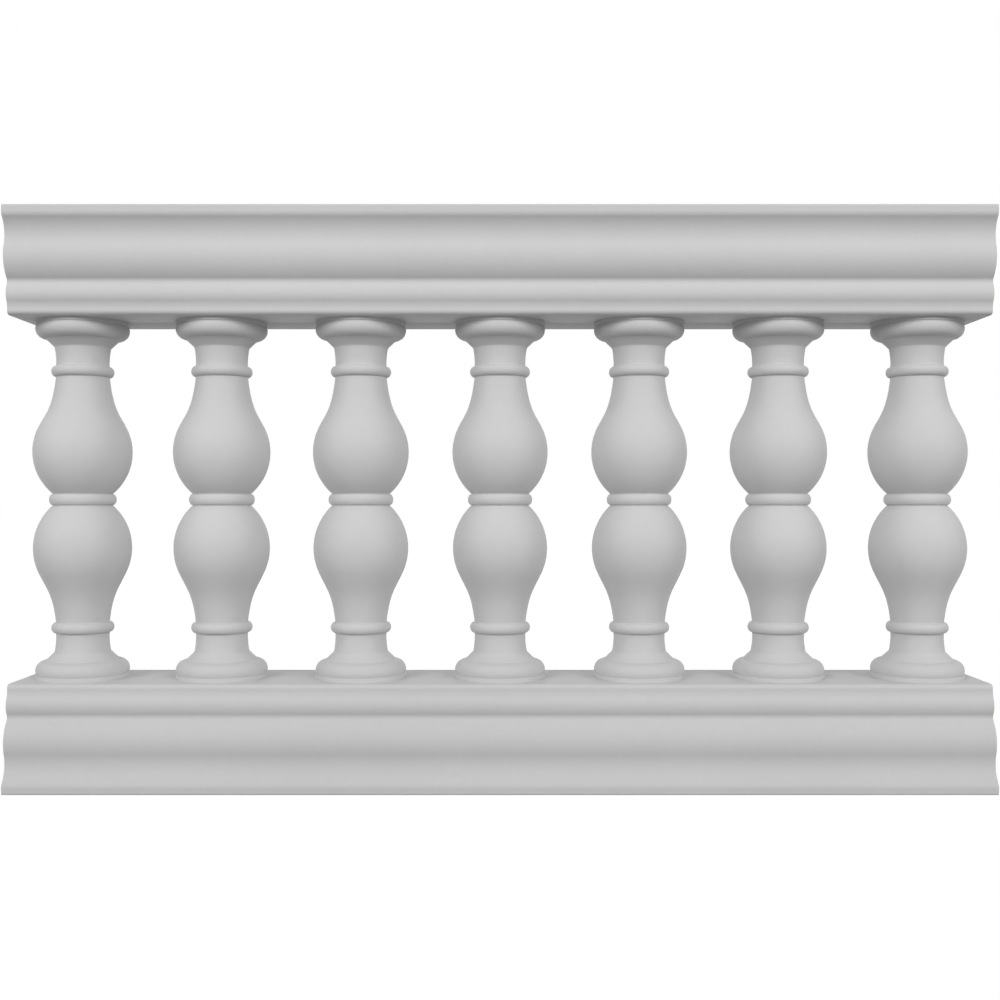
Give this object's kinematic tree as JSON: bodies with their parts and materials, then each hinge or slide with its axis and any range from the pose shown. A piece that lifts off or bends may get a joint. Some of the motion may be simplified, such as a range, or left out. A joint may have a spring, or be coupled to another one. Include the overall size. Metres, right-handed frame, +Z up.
{
  "type": "fibreglass balustrade section",
  "caption": "Hollow moulded fibreglass balustrade bay: double-belly turned balusters clamped between two classical moulded rails, with bolting plates at the rail ends",
  "frame": {"origin": "centre of the underside of the bottom rail, where the section stands on the floor", "axes": "X runs along the rails, the front faces -Y (front and back are alike), Z is up"},
  "size_m": [1.524, 0.2164, 0.9035],
  "materials": {
    "gelcoat": "satin",
    "zinc_steel": "satin"
  },
  "bodies": {
    "root": {"top_rail": "gelcoat", "bottom_rail": "gelcoat", "top_rail_soffit": "gelcoat", "bottom_rail_deck": "gelcoat", "baluster_1": "gelcoat", "baluster_2": "gelcoat", "baluster_3": "gelcoat", "baluster_4": "gelcoat", "baluster_5": "gelcoat", "baluster_6": "gelcoat", "baluster_7": "gelcoat", "tie_rod_1": "zinc_steel", "tie_rod_2": "zinc_steel", "tie_rod_3": "zinc_steel", "tie_rod_4": "zinc_steel", "tie_rod_5": "zinc_steel", "tie_rod_6": "zinc_steel", "tie_rod_7": "zinc_steel", "top_channel": "zinc_steel", "bottom_channel": "zinc_steel", "top_plate_left": "zinc_steel", "top_plate_right": "zinc_steel", "bottom_plate_left": "zinc_steel", "bottom_plate_right": "zinc_steel", "top_nuts": "zinc_steel", "bottom_nuts": "zinc_steel", "top_washers": "zinc_steel", "bottom_washers": "zinc_steel"}
  },
  "joints": []
}
